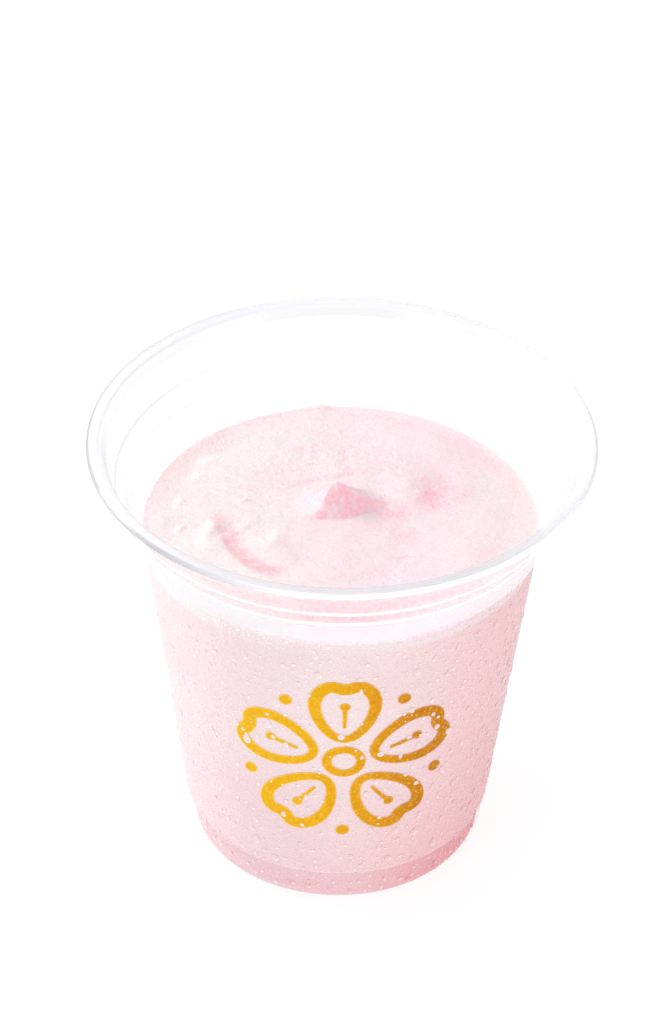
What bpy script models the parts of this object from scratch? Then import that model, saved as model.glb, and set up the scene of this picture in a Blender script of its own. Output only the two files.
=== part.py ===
"""A milkshake in a squat, clear takeaway cup, in metres, +Z up.

The origin is the middle of the underside: the cup stands on z = 0 and its axis is Z.
The front of the drink, with the open side of its folds, faces -Y.
"""

from math import atan2, cos, exp, hypot, log, pi, radians, sin

import bmesh
import bpy

# ---------------------------------------------------------------- dimensions, metres
MM = 0.001
SEGMENTS = 64  # round the axis

WALL = 0.60 * MM  # thickness of the formed plastic
GAP = 0.30 * MM  # left between the drink and the cup

# Rolled rim: a flattened tube open on its underside
RIM_R = 49.0 * MM  # outermost radius
RIM_Z = 92.24 * MM  # height of that widest line
CURL_HALF_W, CURL_HALF_H = 1.50 * MM, 0.85 * MM  # half its width and half its height
CURL_END_DEG = -112.5  # where the roll stops, on its way back to the wall

# Flared neck: two fine beads, then a narrow upright band with a ledge below it
NECK_TOP_R, NECK_TOP_Z = 45.75 * MM, 90.6 * MM
BEAD_A_R, BEAD_A_Z = 43.40 * MM, 84.0 * MM
BEAD_B_R, BEAD_B_Z = 41.30 * MM, 80.0 * MM
BEAD_OUT, BEAD_HALF = 0.22 * MM, 0.45 * MM
LEDGE_R, LEDGE_Z = 40.50 * MM, 75.3 * MM
LEDGE_DROP = 1.5 * MM

# Tapered body
BODY_TOP_R, BODY_TOP_Z = 38.72 * MM, 73.6 * MM
BODY_LOW_R, BODY_LOW_Z = 30.25 * MM, 9.1 * MM

# Base: a small step in, an upright foot, a round heel and a shallow recess underneath
FOOT_TOP_R, FOOT_TOP_Z = 29.15 * MM, 8.3 * MM
HEEL_R = 3.79 * MM
STAND_OUT_R = 24.96 * MM  # outer edge of the flat ring that the cup stands on
STAND_IN_R = 21.40 * MM  # inner edge of that ring
RECESS = 1.20 * MM

# The drink
FILL_Z = 72.6 * MM  # level of the surface between its folds
MENISCUS = 0.50 * MM  # how far it climbs at the wall
PEAK_H = 6.3 * MM  # the tip that the nozzle pulled up in the middle
PEAK_X, PEAK_Y = -1.3 * MM, 5.6 * MM


def ring_points(centre_r, centre_z, radius, start_deg, end_deg, count, high=None):
    """Points (r, z) along an arc, both ends included; high is its half height, where that isn't its radius."""
    step = (end_deg - start_deg) / (count - 1)
    high = radius if high is None else high
    return [
        (
            centre_r + radius * cos(radians(start_deg + step * i)),
            centre_z + high * sin(radians(start_deg + step * i)),
        )
        for i in range(count)
    ]


# ---------------------------------------------------------------- the cup's section
CURL_C = RIM_R - CURL_HALF_W  # radius of the rolled tube's centre line


def outer_side():
    """The outside of the wall from the roll's free edge down to the middle of the underside."""
    side = [(NECK_TOP_R, NECK_TOP_Z)]
    for r, z in ((BEAD_A_R, BEAD_A_Z), (BEAD_B_R, BEAD_B_Z)):
        side += [(r + BEAD_OUT, z + BEAD_HALF), (r, z - BEAD_HALF)]
    side += [
        (LEDGE_R, LEDGE_Z + 0.4 * MM),
        (LEDGE_R - 0.25 * MM, LEDGE_Z - 0.1 * MM),
        (BODY_TOP_R + 0.25 * MM, LEDGE_Z - LEDGE_DROP + 0.3 * MM),
        (BODY_TOP_R, BODY_TOP_Z - 0.5 * MM),
        (BODY_LOW_R, BODY_LOW_Z + 0.25 * MM),
        (BODY_LOW_R - 0.28 * MM, BODY_LOW_Z - 0.25 * MM),
        (FOOT_TOP_R, FOOT_TOP_Z),
    ]
    side += ring_points(STAND_OUT_R, HEEL_R, HEEL_R, 0, -90, 5)
    side += [(STAND_IN_R, 0.0), (STAND_IN_R - 0.9 * MM, RECESS), (0.0, RECESS)]
    return side


def inner_side():
    """The inside of the wall from the middle of the floor up to the roll."""
    floor = RECESS + WALL
    side = [(0.0, floor), (STAND_IN_R - 0.5 * MM, floor), (STAND_IN_R + 0.35 * MM, WALL)]
    side += ring_points(STAND_OUT_R, HEEL_R, HEEL_R - WALL, -90, 0, 4)
    side += [
        (FOOT_TOP_R - WALL, FOOT_TOP_Z + 0.1 * MM),
        (BODY_LOW_R - WALL, BODY_LOW_Z + 0.5 * MM),
        (BODY_TOP_R - WALL, BODY_TOP_Z - 0.4 * MM),
        (LEDGE_R - WALL - 0.15 * MM, LEDGE_Z + 0.1 * MM),
        (LEDGE_R - WALL, LEDGE_Z + 0.7 * MM),
    ]
    for r, z in ((BEAD_B_R, BEAD_B_Z), (BEAD_A_R, BEAD_A_Z)):
        side.append((r - WALL * 0.95, z + 0.25 * MM))
    return side


def cup_section():
    """The closed section of the wall, clockwise seen with +X to the right and +Z up, from the axis to the axis."""
    half_w, half_h = CURL_HALF_W, CURL_HALF_H
    over = ring_points(CURL_C, RIM_Z, half_w, 180, CURL_END_DEG, 13, half_h)
    back = ring_points(CURL_C, RIM_Z, half_w - WALL, CURL_END_DEG, 165, 8, half_h - WALL)
    return inner_side() + over + back + outer_side()


def section_object(name, section):
    """An object turned from a section by a Screw about Z."""
    mesh = bpy.data.meshes.new(name)
    mesh.from_pydata(
        [(r, 0.0, z) for r, z in section],
        [(i, i + 1) for i in range(len(section) - 1)],
        [],
    )
    obj = bpy.data.objects.new(name, mesh)
    bpy.context.scene.collection.objects.link(obj)
    turn = obj.modifiers.new("turn", "SCREW")
    turn.axis = "Z"
    turn.angle = 2 * pi
    turn.steps = turn.render_steps = SEGMENTS
    turn.use_merge_vertices = True
    turn.merge_threshold = 0.00001
    turn.use_smooth_shade = True
    turn.use_normal_calculate = True
    return obj


# ---------------------------------------------------------------- the drink's surface
# Each fold of the surface is a curved crease: a groove with a raised bank on its left.
# (centre x, centre y, start deg, end deg, start radius, end radius, depth, half width), mm,
# and the share of its depth that it has at its start
FOLDS = (
    (1.0, 6.0, 62.0, -8.0, 23.8, 16.4, 0.48, 2.1, 0.40),  # right-hand fold, coiling inwards
    (-1.0, 0.0, 172.0, 240.0, 21.5, 18.6, 0.85, 1.7, 0.75),  # left-hand front fold
    (0.0, 1.0, 20.0, -95.0, 34.0, 30.0, 0.45, 3.4, 1.0),  # wide outer coil, right and front
    (0.0, 0.0, 110.0, 205.0, 34.5, 31.0, 0.28, 3.2, 1.0),  # wide outer coil, left and back
    (0.0, 2.0, -150.0, -20.0, 13.0, 15.0, 0.22, 2.2, 1.0),  # faint coil in front of the tip
)
# Low mounds and, with a negative height, dimples: (x, y, reach along, reach across, turned by deg, height), mm
MOUNDS = (
    (11.5, 11.5, 7.0, 4.0, 50.0, 0.50),
    (-13.4, -4.8, 3.4, 2.0, 55.0, 0.62),
    (-20.3, -2.5, 2.8, 1.2, 45.0, 0.50),
    (-25.2, -2.4, 3.4, 1.5, 62.0, 0.62),
    (-26.2, -7.2, 2.8, 1.5, 105.0, 0.45),
    (24.0, -7.0, 7.5, 6.0, 90.0, 0.55),
    (-3.0, 21.0, 13.0, 6.0, 0.0, 0.45),
    (4.0, -16.0, 11.0, 6.0, 0.0, 0.45),
    (18.8, 9.4, 4.6, 3.6, 70.0, -0.50),
    (13.0, -3.0, 6.0, 2.4, -32.0, -0.40),
)
# The tip's foot, mm: the steep front's foot, then the back's and left's from the right round to the front, and how hollow each of those slopes is
PEAK_FRONT = ((-4.6, 1.1), (1.6, 1.3), (9.6, 6.3))
PEAK_BACK = ((10.8, 6.6), (5.5, 13.5), (-6.5, 14.0), (-13.0, 7.5), (-9.5, -1.6), (-4.0, -1.6))
FRONT_FALL, BACK_FALL = 1.35, (1.5, 2.0, 2.8, 3.0, 3.0)


def smooth_step(x):
    x = min(1.0, max(0.0, x))
    return x * x * (3 - 2 * x)


def fold_height(x, y, fold):
    """Height in mm that one fold adds at (x, y) in mm: a groove between two banks, along an arc that fades at its ends."""
    cx, cy, start, end, r0, r1, depth, half, first = fold
    span = end - start
    turn = (atan2(y - cy, x - cx) * 180 / pi - start) * (1 if span > 0 else -1)
    along = ((turn + 100) % 360 - 100) / abs(span)
    if not -0.25 < along < 1.25:
        return 0.0
    fade = smooth_step((along + 0.12) / 0.32) * smooth_step((1.12 - along) / 0.32)
    fade *= first + (1 - first) * smooth_step((along - 0.15) / 0.5)
    off = (hypot(x - cx, y - cy) - r0 - (r1 - r0) * along) / half
    groove = exp(-(off**2))
    banks = 0.55 * exp(-((off - 1.7) ** 2)) + 0.35 * exp(-((off + 1.8) ** 2) / 1.6)
    return depth * fade * (banks - groove)


def least(values, crisp):
    """A rounded minimum."""
    return -log(sum(exp(-crisp * v) for v in values)) / crisp


def slopes(x, y, foot):
    """Share of the way from each line of the foot to the tip, not below 0."""
    tx, ty = PEAK_X / MM, PEAK_Y / MM
    shares = []
    for (ax, ay), (bx, by) in zip(foot, foot[1:]):
        nx, ny = ay - by, bx - ax
        shares.append(((x - ax) * nx + (y - ay) * ny) / ((tx - ax) * nx + (ty - ay) * ny))
    return shares


def peak_height(x, y):
    """Height in mm of the pulled tip: a steep ragged front and hollow, gentler slopes behind and to the left."""
    front = max(0.0, least(slopes(x, y, PEAK_FRONT), 26.0)) ** FRONT_FALL
    back = [max(0.0, share) ** fall for share, fall in zip(slopes(x, y, PEAK_BACK), BACK_FALL)]
    return PEAK_H / MM * max(0.0, least([front] + back, 30.0)) / 0.94


def mound_share(x, y, mound):
    """Share of a mound's height at (x, y) in mm."""
    mx, my, along, across, turn, _ = mound
    c, s = cos(radians(turn)), sin(radians(turn))
    u, v = (x - mx) * c + (y - my) * s, -(x - mx) * s + (y - my) * c
    return exp(-((u / along) ** 2) - (v / across) ** 2)


def surface_z(x, y, wall_r):
    """Height in metres of the drink's surface at (x, y) in metres; wall_r is its radius at the wall."""
    xm, ym = x / MM, y / MM
    height = sum(fold_height(xm, ym, fold) for fold in FOLDS)
    for mound in MOUNDS:
        height += mound[-1] * mound_share(xm, ym, mound)
    peak = peak_height(xm, ym)
    height = height * max(0.0, 1 - peak / 1.5) + peak
    edge = (wall_r - hypot(x, y)) / MM
    return FILL_Z + (height * smooth_step(edge / 5) + MENISCUS / MM * exp(-edge / 1.6)) * MM


# ---------------------------------------------------------------- the drink
def drink_side():
    """(r, z) of the drink's outside, from just under its surface down to its floor's edge, a gap inside the cup."""
    off = WALL + GAP
    floor = RECESS + off
    side = [
        (BODY_TOP_R - off, BODY_TOP_Z - 0.9 * MM),
        (BODY_LOW_R - off, BODY_LOW_Z + 0.6 * MM),
        (FOOT_TOP_R - off, FOOT_TOP_Z + 0.1 * MM),
    ]
    side += ring_points(STAND_OUT_R, HEEL_R, HEEL_R - off, 0, -90, 4)
    side += [(STAND_IN_R + 0.65 * MM, off), (STAND_IN_R - 0.2 * MM, floor)]
    return side


def drink_mesh(name):
    """Rings from the peak's tip out to the wall, down the side and in across the floor."""
    mesh = bmesh.new()
    off = WALL + GAP
    edge_r = BODY_TOP_R - off + 0.10 * MM
    rows = 16
    shares = [((i + 0.6) / (rows - 0.4)) ** 1.25 for i in range(rows)]
    px, py = PEAK_X, PEAK_Y

    def ring(place):
        return [mesh.verts.new(place(2 * pi * i / SEGMENTS)) for i in range(SEGMENTS)]

    tip = mesh.verts.new((px, py, surface_z(px, py, edge_r)))
    rings = []
    for share in shares:

        def on_surface(angle, share=share):
            x = px * (1 - share) + edge_r * share * cos(angle)
            y = py * (1 - share) + edge_r * share * sin(angle)
            return x, y, surface_z(x, y, edge_r)

        rings.append(ring(on_surface))
    for r, z in drink_side():
        rings.append(ring(lambda angle, r=r, z=z: (r * cos(angle), r * sin(angle), z)))
    middle = mesh.verts.new((0.0, 0.0, RECESS + off))

    count = SEGMENTS
    for i in range(count):
        j = (i + 1) % count
        mesh.faces.new((tip, rings[0][i], rings[0][j]))
        mesh.faces.new((middle, rings[-1][j], rings[-1][i]))
        for above, below in zip(rings, rings[1:]):
            mesh.faces.new((above[i], below[i], below[j], above[j]))
    for face in mesh.faces:
        face.smooth = True
    bmesh.ops.recalc_face_normals(mesh, faces=mesh.faces)
    data = bpy.data.meshes.new(name)
    mesh.to_mesh(data)
    mesh.free()
    return data


# ---------------------------------------------------------------- materials
def principled(name, colour, roughness, metallic=0.0, **more):
    material = bpy.data.materials.new(name)
    material.use_nodes = True
    shader = material.node_tree.nodes["Principled BSDF"]
    shader.inputs["Base Color"].default_value = (*colour, 1.0)
    shader.inputs["Roughness"].default_value = roughness
    shader.inputs["Metallic"].default_value = metallic
    for socket, value in more.items():
        shader.inputs[socket.replace("_", " ")].default_value = value
    material.diffuse_color = (*colour, 1.0)
    return material


def main():
    for obj in list(bpy.data.objects):
        bpy.data.objects.remove(obj, do_unlink=True)

    whole = bpy.data.objects.new("milkshake_in_cup", None)
    bpy.context.scene.collection.objects.link(whole)

    cup = section_object("cup", cup_section())
    cup.data.materials.append(
        principled("clear_plastic", (0.95, 0.96, 0.97), 0.04, IOR=1.57, Alpha=0.3)
    )
    cup.parent = whole

    shake = bpy.data.objects.new("milkshake", drink_mesh("milkshake"))
    bpy.context.scene.collection.objects.link(shake)
    shake.data.materials.append(principled("pink_shake", (0.93, 0.79, 0.82), 0.45))
    shake.parent = whole


main()
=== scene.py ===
"""The looks of a pink milkshake in a clear takeaway cup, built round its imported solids. Metres, +Z up."""

from math import cos, pi, radians, sin, sqrt

import bpy
import numpy as np
from mathutils import Matrix, Vector


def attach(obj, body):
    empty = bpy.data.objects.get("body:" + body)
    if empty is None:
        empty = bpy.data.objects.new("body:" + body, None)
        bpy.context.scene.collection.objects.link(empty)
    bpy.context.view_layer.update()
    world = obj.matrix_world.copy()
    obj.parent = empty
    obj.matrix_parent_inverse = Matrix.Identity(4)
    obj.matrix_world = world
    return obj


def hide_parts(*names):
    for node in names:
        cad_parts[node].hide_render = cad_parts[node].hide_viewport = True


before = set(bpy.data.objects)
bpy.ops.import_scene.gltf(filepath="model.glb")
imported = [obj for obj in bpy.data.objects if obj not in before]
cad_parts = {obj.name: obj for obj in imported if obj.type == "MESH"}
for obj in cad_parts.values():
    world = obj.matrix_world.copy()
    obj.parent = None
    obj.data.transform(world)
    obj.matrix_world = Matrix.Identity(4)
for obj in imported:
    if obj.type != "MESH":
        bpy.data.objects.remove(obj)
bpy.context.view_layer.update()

MM = 0.001
PHOTO_W, PHOTO_H = 663, 1024

# ---------------------------------------------------------------- the cup's sizes, mm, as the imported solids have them
WALL = 0.55
RIM_R, RIM_Z, CURL_W, CURL_H, CURL_WALL, CURL_END = 49.0, 92.24, 1.50, 0.85, 0.50, -112.5
NECK_TOP = (45.75, 90.6)
BEAD_A = (43.40, 84.0)
BEAD_B = (41.30, 80.0)
LEDGE = (40.50, 75.3)
BODY_TOP = (38.72, 73.6)
BODY_LOW = (30.25, 9.1)
FOOT_TOP = (29.15, 8.3)
HEEL_R, STAND_OUT, STAND_IN, RECESS = 3.79, 24.96, 21.40, 1.20
FILL_Z = 72.6
INTO_WALL = 0.43  # how far the drink reaches into the wall, so that no air shows between them
PEAK = (-1.3, 5.6)
PEAK_H = 6.3


# ---------------------------------------------------------------- small helpers
def hash01(ix, iy, iz, seed):
    """A fixed pseudo-random number from 0 to 1 at each lattice point."""
    h = (
        ix.astype(np.int64) * 374761393
        + iy.astype(np.int64) * 668265263
        + iz.astype(np.int64) * 1103515245
        + seed * 974634777
    ) & 0xFFFFFFFF
    h = ((h ^ (h >> 13)) * 1274126177) & 0xFFFFFFFF
    h = ((h ^ (h >> 15)) * 2246822519) & 0xFFFFFFFF
    return ((h ^ (h >> 16)) & 0xFFFFFF) / float(0xFFFFFF)


def noise(x, y, z=0.0, seed=1):
    """Smooth noise from -1 to 1, one cell per unit."""
    x, y, z = np.broadcast_arrays(
        np.asarray(x, float), np.asarray(y, float), np.asarray(z, float)
    )
    # turned, so that the lattice lies along no axis of the drink
    u = 0.80 * x + 0.36 * y + 0.48 * z
    v = -0.60 * x + 0.48 * y + 0.64 * z
    w = -0.80 * y + 0.60 * z
    cells = [np.floor(a) for a in (u, v, w)]
    f = [a - c for a, c in zip((u, v, w), cells)]
    s = [a * a * a * (a * (a * 6 - 15) + 10) for a in f]
    total = 0.0
    for i in (0, 1):
        for j in (0, 1):
            for k in (0, 1):
                weight = (
                    (s[0] if i else 1 - s[0])
                    * (s[1] if j else 1 - s[1])
                    * (s[2] if k else 1 - s[2])
                )
                total = total + weight * hash01(
                    cells[0] + i, cells[1] + j, cells[2] + k, seed
                )
    return total * 2 - 1


def smooth(x):
    x = np.clip(x, 0.0, 1.0)
    return x * x * (3 - 2 * x)


def mesh_object(name, points, faces, materials, slots=None, smooth_faces=True):
    """A mesh object from points in mm and faces of one or more sizes."""
    mesh = bpy.data.meshes.new(name)
    mesh.from_pydata((np.asarray(points) * MM).tolist(), [], faces)
    mesh.update()
    mesh.validate()
    if slots is not None:
        mesh.polygons.foreach_set("material_index", np.asarray(slots, np.int32))
    mesh.polygons.foreach_set(
        "use_smooth", np.full(len(mesh.polygons), smooth_faces, bool)
    )
    for material in materials:
        mesh.materials.append(material)
    obj = bpy.data.objects.new(name, mesh)
    bpy.context.scene.collection.objects.link(obj)
    return obj


def turned(section, count):
    """Points and faces of an open section (r, z) turned about Z; a point on the axis becomes one vertex."""
    points, rings, faces = [], [], []
    angles = np.arange(count) * 2 * pi / count
    for r, z in section:
        if r < 1e-6:
            rings.append([len(points)])
            points.append((0.0, 0.0, z))
        else:
            rings.append(list(range(len(points), len(points) + count)))
            points += [(r * cos(a), r * sin(a), z) for a in angles]
    bands = []
    for n, (a, b) in enumerate(zip(rings, rings[1:])):
        for i in range(count):
            j = (i + 1) % count
            if len(a) == 1:
                faces.append((a[0], b[i], b[j]))
            elif len(b) == 1:
                faces.append((a[j], a[i], b[0]))
            else:
                faces.append((a[j], a[i], b[i], b[j]))
            bands.append(n)
    return points, faces, bands


# ---------------------------------------------------------------- node materials
def new_material(name):
    material = bpy.data.materials.new(name)
    material.use_nodes = True
    tree = material.node_tree
    shader = tree.nodes["Principled BSDF"]
    return material, tree, shader


def node(tree, kind, values=(), **settings):
    made = tree.nodes.new(kind)
    for key, value in settings.items():
        setattr(made, key, value)
    for key, value in dict(values).items():
        made.inputs[key].default_value = value
    return made


def ramp(tree, source, stops):
    made = tree.nodes.new("ShaderNodeValToRGB")
    while len(made.color_ramp.elements) < len(stops):
        made.color_ramp.elements.new(0.5)
    for element, (place, colour) in zip(made.color_ramp.elements, stops):
        element.position = place
        element.color = (*colour, 1.0) if len(colour) == 3 else colour
    tree.links.new(source, made.inputs["Fac"])
    return made


def film_plastic(name, colour, edge, cover, edge_cover, rough=0.08, turns=(0.40, 0.70), wavy=False, side_shade=None, axis="X"):
    """Thin clear sheet: what is behind shows unbent through a faint film, and it is denser where seen edge on, with a
    painted grey there that stands in for darker surroundings bent into view by the edge.
    """
    material, tree, shader = new_material(name)
    shader.inputs["Roughness"].default_value = rough
    shader.inputs["IOR"].default_value = 1.45
    facing = node(tree, "ShaderNodeLayerWeight", {"Blend": 0.5})
    tone = ramp(tree, facing.outputs["Facing"], ((turns[0], colour), (turns[1], edge))).outputs["Color"]
    coordinates = tree.nodes.new("ShaderNodeTexCoord")
    if side_shade is not None:  # painted shade: the sheet is greyer where less light falls on it
        split = tree.nodes.new("ShaderNodeSeparateXYZ")
        tree.links.new(coordinates.outputs["Object"], split.inputs["Vector"])
        across = node(tree, "ShaderNodeMapRange", {"From Min": -0.049, "From Max": 0.049})
        tree.links.new(split.outputs[axis], across.inputs["Value"])
        tint = ramp(tree, across.outputs["Result"], side_shade).outputs["Color"]
        if axis == "X":  # painted light: lighter at the back
            far = node(tree, "ShaderNodeMapRange", {"From Min": -0.005, "From Max": 0.035, "To Min": 0.0, "To Max": 0.32})
            tree.links.new(split.outputs["Y"], far.inputs["Value"])
            tint = mix_colours(tree, "MIX", far.outputs["Result"], tint, (0.90, 0.90, 0.93))
        tone = mix_colours(tree, "MULTIPLY", 1.0, tone, tint)
    tree.links.new(tone, shader.inputs["Base Color"])
    share = node(
        tree,
        "ShaderNodeMapRange",
        {"From Min": turns[0], "From Max": turns[1], "To Min": cover, "To Max": edge_cover},
    )
    tree.links.new(facing.outputs["Facing"], share.inputs["Value"])
    clear = node(tree, "ShaderNodeBsdfTransparent", {"Color": (1, 1, 1, 1)})
    mix = tree.nodes.new("ShaderNodeMixShader")
    tree.links.new(share.outputs["Result"], mix.inputs["Fac"])
    tree.links.new(clear.outputs["BSDF"], mix.inputs[1])
    tree.links.new(shader.outputs["BSDF"], mix.inputs[2])
    tree.links.new(mix.outputs["Shader"], tree.nodes["Material Output"].inputs["Surface"])
    if wavy:
        stretch = node(tree, "ShaderNodeMapping", {"Scale": (55, 55, 16)})
        tree.links.new(coordinates.outputs["Object"], stretch.inputs["Vector"])
        waves = node(tree, "ShaderNodeTexNoise", {"Scale": 1.0, "Detail": 1.0})
        tree.links.new(stretch.outputs["Vector"], waves.inputs["Vector"])
        bump = node(tree, "ShaderNodeBump", {"Strength": 0.05, "Distance": 0.0003})
        tree.links.new(waves.outputs["Fac"], bump.inputs["Height"])
        tree.links.new(bump.outputs["Normal"], shader.inputs["Normal"])
    return material


def mist_and_painted_highlight():
    """The outside below the beads, wet with condensation too fine to see as drops: a thin light film on what is behind
    it, made denser and lighter as a painted highlight on the ledge and in a line at the foot's step.
    """
    material, tree, shader = new_material("mist_and_painted_highlight")
    shader.inputs["IOR"].default_value = 1.45
    coordinates = tree.nodes.new("ShaderNodeTexCoord")
    split = tree.nodes.new("ShaderNodeSeparateXYZ")
    tree.links.new(coordinates.outputs["Object"], split.inputs["Vector"])
    height = node(tree, "ShaderNodeMapRange", {"From Min": 0.0, "From Max": 0.080})
    tree.links.new(split.outputs["Z"], height.inputs["Value"])
    # painted highlight: the film is denser in a line at the foot's step and in a band over the ledge
    covers = [
        ramp(tree, height.outputs["Result"], tuple((z / 80.0, (value, value, value)) for z, value in stops)).outputs["Color"]
        for stops in (
            (
                (8.6, MIST),
                (9.2, 2.6 * MIST),
                (9.5, 2.6 * MIST),
                (10.1, MIST),
                (70.5, MIST),
                (73.6, 0.17),
                (75.0, 0.50),
                (79.6, 0.48),
            ),
            ((8.6, MIST), (9.2, 2.6 * MIST), (9.5, 2.6 * MIST), (10.1, MIST), (73.0, MIST), (75.0, 0.14), (79.6, 0.08)),
        )
    ]
    # seen through the back, the ledge's painted highlight hardly shows
    back = node(tree, "ShaderNodeMapRange", {"From Min": -0.006, "From Max": 0.010})
    tree.links.new(split.outputs["Y"], back.inputs["Value"])
    cover = mix_colours(tree, "MIX", back.outputs["Result"], *covers)
    # the ledge's painted highlight is tinted lavender
    tint = ramp(tree, height.outputs["Result"], ((0.915, (1.0, 0.985, 0.985)), (0.945, (0.875, 0.915, 0.95))))
    tree.links.new(tint.outputs["Color"], shader.inputs["Base Color"])
    tree.links.new(cover, shader.inputs["Alpha"])
    patches = node(tree, "ShaderNodeTexNoise", {"Scale": 95.0, "Detail": 3.0})
    tree.links.new(coordinates.outputs["Object"], patches.inputs["Vector"])
    rough = node(
        tree,
        "ShaderNodeMapRange",
        {"From Min": 0.35, "From Max": 0.7, "To Min": 0.16, "To Max": 0.34},
    )
    tree.links.new(patches.outputs["Fac"], rough.inputs["Value"])
    tree.links.new(rough.outputs["Result"], shader.inputs["Roughness"])
    cells = node(tree, "ShaderNodeTexVoronoi", {"Scale": 2100.0, "Randomness": 1.0})
    tree.links.new(coordinates.outputs["Object"], cells.inputs["Vector"])
    domes = node(
        tree,
        "ShaderNodeMapRange",
        {"From Min": 0.0, "From Max": 0.5, "To Min": 1.0, "To Max": 0.0},
        interpolation_type="SMOOTHSTEP",
    )
    tree.links.new(cells.outputs["Distance"], domes.inputs["Value"])
    bump = node(tree, "ShaderNodeBump", {"Strength": 0.35, "Distance": 0.0001})
    tree.links.new(domes.outputs["Result"], bump.inputs["Height"])
    tree.links.new(bump.outputs["Normal"], shader.inputs["Normal"])
    return material


def mix_colours(tree, blend, share, first, second):
    """The socket of a Mix node; share, first and second are sockets or plain values."""
    made = node(tree, "ShaderNodeMix", data_type="RGBA", blend_type=blend)
    for place, value in ((0, share), (6, first), (7, second)):
        if isinstance(value, bpy.types.NodeSocket):
            tree.links.new(value, made.inputs[place])
        else:
            made.inputs[place].default_value = (*value, 1.0) if isinstance(value, tuple) else value
    return made.outputs[2]


TOP_TONES = (
    (0.0, (0.835, 0.780, 0.770)),
    (0.30, (0.835, 0.752, 0.755)),
    (0.50, (0.840, 0.728, 0.758)),
    (0.75, (0.835, 0.725, 0.763)),
    (0.90, (0.830, 0.728, 0.738)),
    (1.0, (0.825, 0.718, 0.712)),
)
# painted shade: the drink seen through the wall is deeper pink towards the right, away from the key light
WALL_TONES_AND_SHADE = (
    (0.0, (0.855, 0.690, 0.705)),
    (0.35, (0.855, 0.706, 0.722)),
    (0.55, (0.845, 0.706, 0.704)),
    (0.80, (0.848, 0.605, 0.620)),
    (1.0, (0.835, 0.530, 0.545)),
)
MIST = 0.10
# painted shade: deeper pink low down and in the foot, more so on the right
LOW_SHADE_TONES = ((0.0, (0.975, 0.880, 0.910)), (0.55, (0.975, 0.785, 0.815)), (0.85, (0.965, 0.700, 0.725)))
FOOT_SHADE_TONES = ((0.0, (0.965, 0.88, 0.91)), (0.58, (0.965, 0.88, 0.91)), (0.82, (0.945, 0.67, 0.70)))
# painted shade tone for the drink's surface, with a little blush
SHADE_AND_BLUSH_TONE = (1.07, 0.72, 0.78)
# a paler tone for the drink's surface, partly whipped cream and partly painted highlight
PALE_AND_HIGHLIGHT_TONE = (0.900, 0.845, 0.845)


def wall_tone_and_shade(tree, split):
    """The drink's tone as seen through the wall, with painted shade: pinker to the right, low down and in the foot,
    where less light falls, and painted light just under the ledge.
    """
    # painted shade: deeper pink towards the right, away from the key light
    side = node(tree, "ShaderNodeMapRange", {"From Min": -0.036, "From Max": 0.036})
    tree.links.new(split.outputs["X"], side.inputs["Value"])
    tone = ramp(tree, side.outputs["Result"], WALL_TONES_AND_SHADE).outputs["Color"]
    # painted shade low down, more so on the right
    low = node(tree, "ShaderNodeMapRange", {"From Min": 0.0, "From Max": 0.045, "To Min": 1.0, "To Max": 0.0})
    tree.links.new(split.outputs["Z"], low.inputs["Value"])
    lower = node(tree, "ShaderNodeMapRange", {"From Min": 0.0, "From Max": 0.5, "To Min": 0.45, "To Max": 1.0})
    tree.links.new(side.outputs["Result"], lower.inputs["Value"])
    depth = node(tree, "ShaderNodeMath", operation="MULTIPLY")
    tree.links.new(low.outputs["Result"], depth.inputs[0])
    tree.links.new(lower.outputs["Result"], depth.inputs[1])
    low_shade_tone = ramp(tree, side.outputs["Result"], LOW_SHADE_TONES).outputs["Color"]
    tone = mix_colours(tree, "MULTIPLY", depth.outputs["Value"], tone, low_shade_tone)
    # painted shade in the foot, deeper on the right
    foot = node(tree, "ShaderNodeMapRange", {"From Min": 0.0084, "From Max": 0.0091, "To Min": 1.0, "To Max": 0.0})
    tree.links.new(split.outputs["Z"], foot.inputs["Value"])
    foot_shade_tone = ramp(tree, side.outputs["Result"], FOOT_SHADE_TONES).outputs["Color"]
    tone = mix_colours(tree, "MULTIPLY", foot.outputs["Result"], tone, foot_shade_tone)
    # painted light: paler just under the ledge, more so on the left
    high = node(tree, "ShaderNodeMapRange", {"From Min": 0.0702, "From Max": 0.0726})
    tree.links.new(split.outputs["Z"], high.inputs["Value"])
    lit_side = node(tree, "ShaderNodeMapRange", {"From Min": 0.0, "From Max": 1.0, "To Min": 1.0, "To Max": -0.15})
    tree.links.new(side.outputs["Result"], lit_side.inputs["Value"])
    pale_and_highlight = node(tree, "ShaderNodeMath", operation="MULTIPLY")
    tree.links.new(high.outputs["Result"], pale_and_highlight.inputs[0])
    tree.links.new(lit_side.outputs["Result"], pale_and_highlight.inputs[1])
    return mix_colours(tree, "MIX", pale_and_highlight.outputs["Value"], tone, (1.0, 0.95, 0.95))


def fine_dew(name, share, rough=0.30, other=(1.0, 0.985, 0.985)):
    """Specks of water in one opaque colour: the tone of the drink behind them, with its painted shade, mixed with
    another; a lighter mix is partly their scattered light and partly a painted highlight, and a darker one a painted
    shadow.
    """
    material, tree, shader = new_material(name)
    coordinates = tree.nodes.new("ShaderNodeTexCoord")
    split = tree.nodes.new("ShaderNodeSeparateXYZ")
    tree.links.new(coordinates.outputs["Object"], split.inputs["Vector"])
    colour = mix_colours(tree, "MIX", share, wall_tone_and_shade(tree, split), other)
    tree.links.new(colour, shader.inputs["Base Color"])
    shader.inputs["Roughness"].default_value = rough
    shader.inputs["IOR"].default_value = 1.25
    return material


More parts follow.
